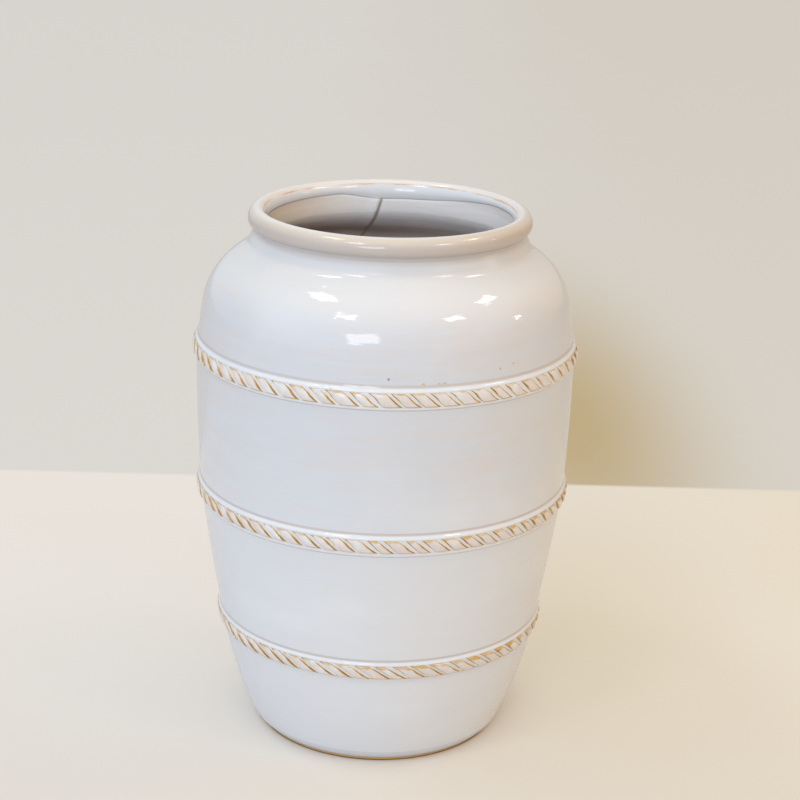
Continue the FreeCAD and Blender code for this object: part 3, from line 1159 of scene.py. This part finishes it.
BANDS = {
    "lower": Band(
        name="lower", radius=94.1, taper=0.197, rope=6.5, bead_below=1.5, bead_above=4.0, bead=2.2,
        overhang=1.5, lowered=0.3, pitch=10.4, lean=54.5, smear=0.3, hem=0.65, seed=11.0,
    ),
    "middle": Band(
        name="middle", radius=106.2, taper=0.063, rope=7.2, bead_below=3.0, bead_above=4.1, bead=2.3,
        overhang=0.2, lowered=0.6, pitch=10.1, lean=49.7, smear=0.1, hem=0.35, seed=23.0,
    ),
    "upper": Band(
        name="upper", radius=107.95, taper=-0.088, rope=8.0, bead_below=2.2, bead_above=3.8, bead=1.6,
        overhang=0.0, lowered=1.0, pitch=10.9, lean=48.6, smear=0.0, hem=0.15, seed=37.0,
    ),
}


@dataclass
class RopeBand:
    """A bed with a bead along each edge, and the rope pressed on it. Sizes are in millimetres.

    The groove, its floor, the edge, the crown, the side, the sway, the jitter and the wobble are
    those of the strands. rope_overlap is what the rope has in height beyond its band's rope. The
    rest belongs to the bed.
    """

    band: Band
    turning: TurningTree
    pressing: RopeTree
    finish: bpy.types.Material
    groove_above: float = 3.8
    groove_below: float = 2.7
    groove_floor: float = 1.25
    floor_rise: float = 0.35
    edge_depth: float = 1.65
    crown: float = 1.15
    side: float = 0.7
    sway: float = 0.32
    jitter: float = 1.0
    wobble: float = 0.38
    root: float = 0.3
    rope_overlap: float = 0.5
    sunk: float = 1.2
    seat_depth: float = 0.8
    fillet: float = 0.9
    crest_above: float = 1.55
    crest_below: float = 1.1

    def bead(self, start: float, end: float, height: float) -> list[tuple[float, float, float]]:
        """Places on a bead from one level to another, rounded, and out by height at its crest."""
        places = []
        for share in (0.12, 0.3, 0.5, 0.7, 0.88):
            rise = (4 * share * (1 - share)) ** 0.5
            places.append((start + (end - start) * share, height * rise, 0.0))
        return places

    def bed_outline(self) -> Outline:
        """The bed's section: a fillet, the lower bead, the rope's seat, the upper bead, a fillet.

        Each place on its front is a way up from the joint, a way out from the wall, and how much
        painted shade lies there.
        """
        band = self.band
        seat = band.rope / 2
        rim = seat - 0.4 + band.bead
        seat_top = seat - 0.6 - band.lowered
        front = [
            (band.foot - self.fillet, -0.22, 0.6),
            (band.foot, 0.05, 1.0),
            (band.foot + 0.5, 0.4, 0.0),
            *self.bead(band.foot, -seat + 0.4, self.crest_below),
            (-seat + 0.5, self.seat_depth, 0.0),
            (seat_top, self.seat_depth, 0.0),
            *self.bead(seat - 0.5 - band.lowered, rim, self.crest_above),
            (rim + 0.1, 0.45, 0.3),
            ((rim + band.top) / 2, 0.15, 1.0),
            (band.top + self.fillet, -0.22, 0.4),
        ]
        back = [(band.top + self.fillet, -self.sunk), (band.foot - self.fillet, -self.sunk)]
        corners = [Corner(*band.wall(up, out), step=0.35, inner=shade) for up, out, shade in front]
        corners += [Corner(*band.wall(up, out), step=20.0) for up, out in back]
        return Outline(corners, rounding=3)

    def build_bed(self, glaze: bpy.types.Material) -> None:
        """Turn the bed."""
        name = f"{self.band.name}_bed_beads"
        base = self.bed_outline().mesh(name + "_outline")
        piece = self.turning.make(name, base, Hand().values(glaze))
        settle(piece, f"{self.band.name}_band_bed")

    def build_rope(self) -> None:
        """Press the rope."""
        band = self.band
        hand = Hand()
        shift = (band.overhang + band.lowered) / 2
        sizes = {
            "Radius": band.radius - band.taper * shift,
            "Joint": band.joint - shift,
            "Rope": band.rope + self.rope_overlap + band.overhang - band.lowered,
            "Groove above": self.groove_above,
            "Groove below": self.groove_below,
            "Floor": self.groove_floor,
            "Floor rise": self.floor_rise,
            "Edge depth": self.edge_depth,
            "Crown": self.crown,
            "Root": self.root,
            "Side": self.side,
            "Sway": self.sway,
            "Jitter": self.jitter,
            "Wobble": self.wobble,
        }
        values = {
            **{entry: size * MM for entry, size in sizes.items()},
            "Strands": float(round(FULL_TURN * band.radius / band.pitch)),
            "Taper": band.taper,
            "Slant": math.tan(math.radians(band.lean)),
            "Ring depth": hand.ring_depth,
            "Ring pitch": hand.ring_pitch,
            "Out of round": hand.out_of_round,
            "Seed": band.seed,
            "Material": self.finish,
        }
        name = f"{band.name}_rope_strands"
        piece = self.pressing.make(name, bpy.data.meshes.new(name + "_base"), values)
        settle(piece, f"{band.name}_rope")


@dataclass
class JarWall:
    """The wall's five sections, from the foot slab to the rim."""

    turning: TurningTree
    glaze: bpy.types.Material
    thickness: float = WALL
    bevel: float = 3.0
    slab_radius: float = SLAB_RADIUS
    slab_rise: float = SLAB_RISE
    step_rise: float = 1.5
    lower_bow: float = 1.8
    belly_bow: float = 0.28
    upper_bow: float = 0.43
    crown_height: float = 256.24
    crown_radius: float = 105.2
    crown_lean: float = 8.5
    crown_bow: float = 0.09
    turn_height: float = 283.57
    turn_radius: float = 89.1
    turn_lean: float = 52.6
    turn_bow: float = 3.09
    neck_height: float = NECK_HEIGHT
    neck_radius: float = NECK_RADIUS
    hollow_radius: float = 80.9
    hollow_height: float = 290.8
    neck_thickness: float = NECK_THICKNESS
    seat_rise: float = SEAT_RISE
    joint_step: float = 20.0

    def inside(self, band: Band) -> tuple[float, float]:
        """The inner edge of the joint behind a band."""
        return band.radius - self.thickness, band.joint + self.bevel

    def through(self, radius: float, height: float, lean: float) -> tuple[float, float]:
        """The inner place opposite an outer one, square through the wall."""
        turn = math.radians(lean)
        return radius - self.thickness * math.cos(turn), height - self.thickness * math.sin(turn)

    def build(self) -> None:
        """Turn the five sections."""
        self.section("lower_wall", self.lower_corners())
        self.section("belly_wall", self.middle_corners("lower", "middle", self.belly_bow))
        self.section("upper_wall", self.middle_corners("middle", "upper", self.upper_bow))
        self.section("shoulder", self.shoulder_corners(), NECK_HAND)
        self.section("neck_collar", self.neck_corners(), NECK_HAND)

    def section(self, node: str, corners: list[Corner], hand: Hand | None = None) -> None:
        """Turn one section and let it stand for its node."""
        base = Outline(corners).mesh(node + "_outline")
        hand = hand or Hand()
        piece = self.turning.make(node + "_glazed", base, hand.values(self.glaze))
        settle(piece, node)

    def lower_corners(self) -> list[Corner]:
        """The flaring ring above the slab."""
        band = BANDS["lower"]
        inner_foot = self.slab_radius - self.thickness
        return [
            Corner(inner_foot, self.slab_rise, step=self.joint_step, inner=1.0),
            Corner(self.slab_radius, self.slab_rise, step=self.joint_step),
            Corner(*band.wall(band.foot), self.lower_bow, step=0.9),
            Corner(*band.wall(0.0)),
            Corner(*self.inside(band), step=self.joint_step, inner=1.0),
            Corner(inner_foot, self.slab_rise + self.step_rise, -self.lower_bow, step=2.4, inner=1.0),
        ]

    def middle_corners(self, below: str, above: str, bow: float) -> list[Corner]:
        """A ring between two bands."""
        low, high = BANDS[below], BANDS[above]
        return [
            Corner(*low.wall(0.0), step=self.joint_step),
            Corner(*low.wall(low.top)),
            Corner(*high.wall(high.foot), bow),
            Corner(*high.wall(0.0)),
            Corner(*self.inside(high), step=self.joint_step, inner=1.0),
            Corner(*self.inside(low), -bow, step=2.4, inner=1.0),
        ]

    def shoulder_corners(self) -> list[Corner]:
        """The section that turns in to the neck."""
        band = BANDS["upper"]
        half = math.radians(self.turn_lean - self.crown_lean) / 2
        inner_bow = self.turn_bow - self.thickness * (1 - math.cos(half))
        turn_inside = self.through(self.turn_radius, self.turn_height, self.turn_lean)
        crown_inside = self.through(self.crown_radius, self.crown_height, self.crown_lean)
        return [
            Corner(*band.wall(0.0), step=self.joint_step),
            Corner(*band.wall(band.top)),
            Corner(self.crown_radius, self.crown_height, self.crown_bow),
            Corner(self.turn_radius, self.turn_height, self.turn_bow, step=0.5),
            Corner(*turn_inside, step=self.joint_step, inner=1.0, seam=1.0),
            Corner(*crown_inside, -inner_bow, inner=1.0),
            Corner(*self.inside(band), -self.crown_bow, step=2.4, inner=1.0),
        ]

    def neck_corners(self) -> list[Corner]:
        """The short hollowed ring under the rim, with a wavy joint inside."""
        mouth = self.neck_radius - self.neck_thickness
        seat = self.neck_height + self.seat_rise
        inner_turn = self.through(self.turn_radius, self.turn_height, self.turn_lean)
        return [
            Corner(self.turn_radius, self.turn_height, step=self.joint_step),
            Corner(self.hollow_radius + 1.4, self.hollow_height - 2.0, 0.03, step=0.6),
            Corner(self.hollow_radius - 1.35, self.hollow_height + 1.9, -0.36, step=0.3),
            Corner(self.neck_radius + 1.8, self.neck_height, step=0.6),
            # Its crease marks carry the painted shade along the joint with the rim.
            Corner(
                mouth + 0.1, seat,
                step=self.joint_step, inner=0.6, lift=1.0, seam=1.0, crease=1.0,
            ),
            Corner(mouth, seat - 1.6, 0.03, step=0.4, inner=1.0, lift=0.8, seam=1.0, crease=0.45),
            Corner(mouth + 0.2, seat - 4.0, step=0.7, inner=1.0, lift=0.4, seam=1.0),
            Corner(mouth + 1.1, self.hollow_height + 1.2, 0.1, step=0.7, inner=1.0, seam=1.0),
            Corner(mouth + 5.6, self.turn_height + 2.4, 0.45, step=0.5, inner=1.0, seam=1.0),
            Corner(*inner_turn, 0.45, step=0.8, inner=1.0, seam=1.0),
        ]


@dataclass
class FootSlab:
    """The round floor on its ring of bare clay."""

    turning: TurningTree
    finish: bpy.types.Material
    floor: float = 9.5
    slab_radius: float = SLAB_RADIUS
    slab_rise: float = SLAB_RISE
    wall: float = WALL
    foot_radius: float = 70.7
    ring_width: float = 9.0
    hollow: float = 1.5
    bevel: float = 1.0
    side_bow: float = 0.66
    glaze_line: float = 2.0
    glaze_depth: float = 0.2

    def corners(self) -> list[Corner]:
        """The slab's section, with the glaze's rolled edge above the bare foot."""
        ring_inner = self.foot_radius - self.ring_width
        seat = self.slab_radius - self.wall
        line_out = self.foot_radius + 0.95
        return [
            Corner(0.0, self.floor, step=3.0, thrown=0.0, inner=1.0),
            Corner(0.0, self.hollow, step=self.floor, thrown=0.0),
            Corner(ring_inner - self.hollow, self.hollow, step=3.0, thrown=1.0),
            Corner(ring_inner - 0.3, 0.15, step=0.5),
            Corner(ring_inner + 0.5, 0.0, step=0.5),
            Corner(self.foot_radius - self.bevel, 0.0, step=1.5),
            Corner(self.foot_radius - 0.25, 0.2, step=0.3),
            Corner(self.foot_radius + 0.15, 0.6, step=0.3),
            Corner(self.foot_radius + 0.3, self.bevel + 0.5, step=0.3),
            Corner(line_out, self.glaze_line - 0.12, step=0.3, lift=1.0),
            Corner(line_out + self.glaze_depth, self.glaze_line, step=0.2, lift=1.0),
            Corner(self.slab_radius, self.slab_rise, self.side_bow - 0.15, step=0.6),
            Corner(seat, self.slab_rise, step=20.0),
            Corner(seat, self.floor, step=20.0, inner=1.0),
        ]

    def build(self) -> None:
        """Turn the slab."""
        base = Outline(self.corners()).mesh("foot_outline")
        hand = Hand(ripple=0.22 * MM)
        piece = self.turning.make("foot_slab", base, hand.values(self.finish))
        settle(piece, "base_slab")


@dataclass
class RolledRim:
    """The thick rounded rim, folded over the neck with a wavy edge inside."""

    turning: TurningTree
    glaze: bpy.types.Material
    neck_radius: float = NECK_RADIUS
    neck_height: float = NECK_HEIGHT
    neck_thickness: float = NECK_THICKNESS
    seat_rise: float = SEAT_RISE
    widest: float = 80.4
    widest_height: float = 304.7
    under_bow: float = 0.75
    outer_bow: float = 1.2
    crest: float = 76.0
    crest_height: float = 311.0
    crest_bow: float = 0.8
    lip: float = 71.9
    lip_height: float = 309.5
    lip_bow: float = 0.65
    fold: float = 0.1

    def corners(self) -> list[Corner]:
        """The rim's section."""
        mouth = self.neck_radius - self.neck_thickness
        seat = self.neck_height + self.seat_rise
        return [
            Corner(self.neck_radius + 2.5, self.neck_height - 2.3, step=0.8),
            Corner(self.neck_radius + 3.6, self.neck_height + 1.3, -0.5, step=0.4),
            Corner(self.widest, self.widest_height, self.under_bow, step=0.5),
            Corner(self.crest, self.crest_height, self.outer_bow, step=0.6),
            Corner(self.lip, self.lip_height, self.crest_bow, step=0.5),
            # Its crease marks carry the painted shade along the joint with the neck.
            Corner(
                mouth - self.fold, seat + 1.4, self.lip_bow,
                step=0.4, lift=0.85, seam=0.2, crease=0.2,
            ),
            Corner(mouth + 0.1, seat, 0.05, step=0.4, lift=1.0, seam=0.5, crease=1.0),
        ]

    def build(self) -> None:
        """Turn the rim."""
        base = Outline(self.corners(), rounding=2).mesh("rim_outline")
        piece = self.turning.make("rim_roll", base, NECK_HAND.values(self.glaze))
        settle(piece, "rolled_rim")


@dataclass(frozen=True)
class Window:
    """A soft square lamp, placed by the way that its light comes from.

    Azimuth runs from -Y towards +X and elevation is above the horizon, both in degrees. Width and
    height are in metres, and radiance is in watts per square metre and steradian.
    """

    name: str
    azimuth: float
    elevation: float
    width: float
    height: float
    radiance: float
    turn: float = 0.0
    colour: Colour = (1.0, 1.0, 1.0)


class FloorTone(Enum):
    """Colours of the floor as linear light. The cool ones lie on the left, the warm on the right."""

    NEAR_COOL = (0.80, 0.785, 0.77)
    NEAR_WARM = (0.80, 0.71, 0.55)
    FAR_COOL = (0.70, 0.69, 0.67)
    FAR_WARM = (0.69, 0.66, 0.59)
    # Painted contact shadow under the foot's edge.
    CONTACT_SHADOW = (0.10, 0.065, 0.04)
    NEAR_GLOW_COOL = (0.86, 0.815, 0.745)
    NEAR_GLOW_WARM = (0.83, 0.765, 0.64)
    # Painted shade: the near glow dimmed in front.
    FRONT_SHADE_GLOW = (0.62, 0.57, 0.50)
    FAR_GLOW_COOL = (0.73, 0.705, 0.67)
    FAR_GLOW_WARM = (0.69, 0.655, 0.60)
    # Painted warm shadows to the right of the jar.
    AMBER_SHADOW = (0.47, 0.325, 0.105)
    CREAM_SHADOW = (0.78, 0.66, 0.42)


@dataclass(frozen=True)
class ShadowPatch:
    """An oval patch of painted warm shadow on the floor: its middle and its reach, in metres."""

    east: float
    north: float
    wide: float
    deep: float

    def share(self, paint: Paint) -> Field:
        """How strong the patch is, 1 in its middle and fading outwards."""
        across = (paint.east - self.east) / self.wide
        ahead = (paint.north - self.north) / self.deep
        return ((across * across + ahead * ahead) * -1.0).call("EXPONENT")


@dataclass
class Studio:
    """The floor, the light and the camera, which aren't part of the jar."""

    distance: float = 1.7
    aim: tuple[float, float, float] = (0.0, 0.0, 0.2)
    focal_length: float = 86.507
    camera_distance: float = 1.0629
    camera_height: float = 0.5481
    pitch: float = math.radians(18.302)
    yaw: float = 0.0087
    roll: float = math.radians(1.701)
    floor_reach: float = 6.0
    table_depth: float = 0.388
    # Painted warm shadows to the right of the jar, beyond the table and on it.
    amber_shadow: ShadowPatch = ShadowPatch(0.165, 0.54, 0.105, 0.42)
    cream_shadow: ShadowPatch = ShadowPatch(0.13, 0.12, 0.10, 0.20)
    world_strength: float = 0.45
    front_strength: float = 0.56
    back_strength: float = 0.25
    windows: tuple[Window, ...] = (
        Window("window_low", -14, 22, 0.54, 0.42, 5.0, 12, (0.92, 0.96, 1.0)),
        Window("window_mid", -32, 49, 0.31, 0.26, 8.0, 8),
        Window("window_high", -80, 64, 0.44, 0.22, 8.0, 0, (1.0, 0.99, 0.97)),
        Window("window_right", 92, 50, 0.36, 0.20, 8.0),
        Window("window_right_mid", 50, 43, 0.32, 0.20, 8.0),
        Window("window_right_low", 91, 21, 0.12, 0.12, 8.0),
    )

    def build(self) -> None:
        """Make the floor, the lamps, the world and the camera."""
        self.make_floor()
        self.make_world()
        for window in self.windows:
            self.hang(window)
        self.place_camera()
        view = bpy.context.scene.view_settings
        view.view_transform = "Standard"

    def make_floor(self) -> None:
        """A broad pale floor in the plane of the jar's foot."""
        reach = self.floor_reach
        signs = ((-1, -1), (1, -1), (1, 1), (-1, 1))
        mesh = bpy.data.meshes.new("floor")
        corners = [(reach * east, reach * north, 0.0) for east, north in signs]
        mesh.from_pydata(corners, [], [(0, 1, 2, 3)])
        floor = bpy.data.objects.new("floor", mesh)
        bpy.context.scene.collection.objects.link(floor)
        mesh.materials.append(self.paint_floor())

    def paint_floor(self) -> bpy.types.Material:
        """Cream near the jar and grey-white beyond the table's depth.

        The camera sees part of the floor as a glow, which evens out the light of the lamps. Round
        the foot the glow falls away, and the contact shadow stays; a thin dark ring under the foot's
        edge is painted as contact shadow.
        """
        paint = Paint("floor_paint")
        warm = (paint.east + paint.noise(paint.place, 3.0, 1.0) * 0.05).ramp(-0.2, 0.5)
        beyond = paint.north.ramp(self.table_depth - 0.004, self.table_depth + 0.004)
        radius = paint.from_axis()
        near = paint.blend(warm, FloorTone.NEAR_COOL.value, FloorTone.NEAR_WARM.value)
        # Painted shadow: a dark ring on the floor under the foot's edge.
        contact_shadow = radius.ramp(71.6 * MM, 70.0 * MM)
        near = paint.blend(contact_shadow, near, FloorTone.CONTACT_SHADOW.value)
        far = paint.blend(warm, FloorTone.FAR_COOL.value, FloorTone.FAR_WARM.value)
        surface = paint.add("ShaderNodeBsdfDiffuse", None, {0: paint.blend(beyond, near, far)})
        shine = paint.blend(beyond, self.near_glow(paint, warm), self.far_glow(paint, warm))
        glow = paint.add("ShaderNodeEmission", None, {0: shine})
        open_floor = radius.ramp(66 * MM, 112 * MM)
        seen = Field(paint, paint.add("ShaderNodeLightPath").outputs["Is Camera Ray"])
        seen = seen * (beyond * 0.25 + open_floor * 0.45)
        inputs = {0: seen, 1: surface.outputs[0], 2: glow.outputs[0]}
        mixed = paint.add("ShaderNodeMixShader", None, inputs)
        paint.add("ShaderNodeOutputMaterial", None, {"Surface": mixed.outputs[0]})
        return paint.material

    def near_glow(self, paint: Paint, warm: Field) -> bpy.types.NodeSocket:
        """The glow near the jar: painted shade in front, and a painted cream shadow to the right."""
        glow = paint.blend(warm, FloorTone.NEAR_GLOW_COOL.value, FloorTone.NEAR_GLOW_WARM.value)
        front = paint.north.ramp(0.15, -0.25)
        # Painted shade in front, and a painted cream shadow to the right.
        glow = paint.blend(front, glow, FloorTone.FRONT_SHADE_GLOW.value)
        return paint.blend(self.cream_shadow.share(paint) * 0.75, glow, FloorTone.CREAM_SHADOW.value)

    def far_glow(self, paint: Paint, warm: Field) -> bpy.types.NodeSocket:
        """The glow beyond the table, with a painted amber shadow to the right."""
        glow = paint.blend(warm, FloorTone.FAR_GLOW_COOL.value, FloorTone.FAR_GLOW_WARM.value)
        return paint.blend(self.amber_shadow.share(paint), glow, FloorTone.AMBER_SHADOW.value)

    def make_world(self) -> None:
        """A pale sky, brighter above the front, cool on the left and warm on the right."""
        world = bpy.data.worlds.new("studio")
        bpy.context.scene.world = world
        world.use_nodes = True
        sky = Tree(world.node_tree)
        direction = sky.add("ShaderNodeTexCoord").outputs["Generated"]
        east, north, up = sky.separate(direction)
        ramp = sky.add("ShaderNodeValToRGB", None, {0: east * 0.5 + 0.5})
        stops = (
            (0.0, (1.38, 1.36, 1.32)), (0.5, (0.90, 0.94, 1.0)),
            (0.78, (1.0, 0.90, 0.78)), (1.0, (1.85, 0.93, 0.09)),
        )
        elements = ramp.color_ramp.elements
        while len(elements) < len(stops):
            elements.new(0.5)
        for element, (place, colour) in zip(elements, stops):
            element.position = place
            element.color = (*colour, 1.0)
        front = (up * 0.6 - north * 0.8).ramp(-0.1, 1.0) * self.front_strength
        back = (north - up * 0.5).ramp(0.2, 0.8) * self.back_strength
        strength = front + back + self.world_strength
        light = sky.add("ShaderNodeBackground", None, {0: ramp.outputs[0], 1: strength})
        pale = sky.add("ShaderNodeBackground", None, {0: (0.72, 0.70, 0.68, 1.0), 1: 1.0})
        rays = sky.add("ShaderNodeLightPath")
        inputs = {0: rays.outputs["Is Camera Ray"], 1: light.outputs[0], 2: pale.outputs[0]}
        mixed = sky.add("ShaderNodeMixShader", None, inputs)
        sky.add("ShaderNodeOutputWorld", None, {0: mixed.outputs[0]})

    def hang(self, window: Window) -> None:
        """Hang one soft lamp, facing the jar."""
        turn, rise = math.radians(window.azimuth), math.radians(window.elevation)
        way = Vector((
            math.sin(turn) * math.cos(rise),
            -math.cos(turn) * math.cos(rise),
            math.sin(rise),
        ))
        lamp = bpy.data.lights.new(window.name, "AREA")
        lamp.shape = "RECTANGLE"
        lamp.size, lamp.size_y = window.width, window.height
        lamp.energy = window.radiance * math.pi * window.width * window.height
        lamp.color = window.colour
        holder = bpy.data.objects.new(window.name, lamp)
        bpy.context.scene.collection.objects.link(holder)
        facing = way.to_track_quat("Z", "Y").to_matrix().to_4x4()
        spin = Matrix.Rotation(math.radians(window.turn), 4, "Z")
        place = Matrix.Translation(Vector(self.aim) + way * self.distance)
        holder.matrix_world = place @ facing @ spin

    def place_camera(self) -> None:
        """Set the camera where the photograph was taken from."""
        lens = bpy.data.cameras.new("camera")
        lens.lens = self.focal_length
        lens.sensor_width = 36.0
        ahead = Vector((
            math.sin(self.yaw) * math.cos(self.pitch),
            math.cos(self.yaw) * math.cos(self.pitch),
            -math.sin(self.pitch),
        ))
        level = Vector((math.cos(self.yaw), -math.sin(self.yaw), 0.0))
        upright = level.cross(ahead)
        cosine, sine = math.cos(self.roll), math.sin(self.roll)
        right = level * cosine + upright * sine
        top = upright * cosine - level * sine
        camera = bpy.data.objects.new("camera", lens)
        bpy.context.scene.collection.objects.link(camera)
        turned = Matrix((right, top, -ahead)).transposed().to_4x4()
        place = Vector((0.0, -self.camera_distance, self.camera_height))
        camera.matrix_world = Matrix.Translation(place) @ turned
        bpy.context.scene.camera = camera


def main() -> None:
    """Set the studio, then build and dress the jar from its foot to its rim."""
    logging.basicConfig(level=logging.INFO, format="%(name)s: %(message)s")
    Studio().build()
    turning, pressing = TurningTree(), RopeTree()
    white = WhiteGlaze().build()
    bead = BeadGlaze().build()
    FootSlab(turning, FootFinish().build()).build()
    JarWall(turning, white).build()
    for band in BANDS.values():
        glaze = RopeGlaze(f"{band.name}_rope_glaze", smear=band.smear, hem=band.hem).build()
        rope_band = RopeBand(band, turning, pressing, glaze)
        rope_band.build_bed(bead)
        rope_band.build_rope()
    RolledRim(turning, RimGlaze().build()).build()


if __name__ == "__main__":
    main()
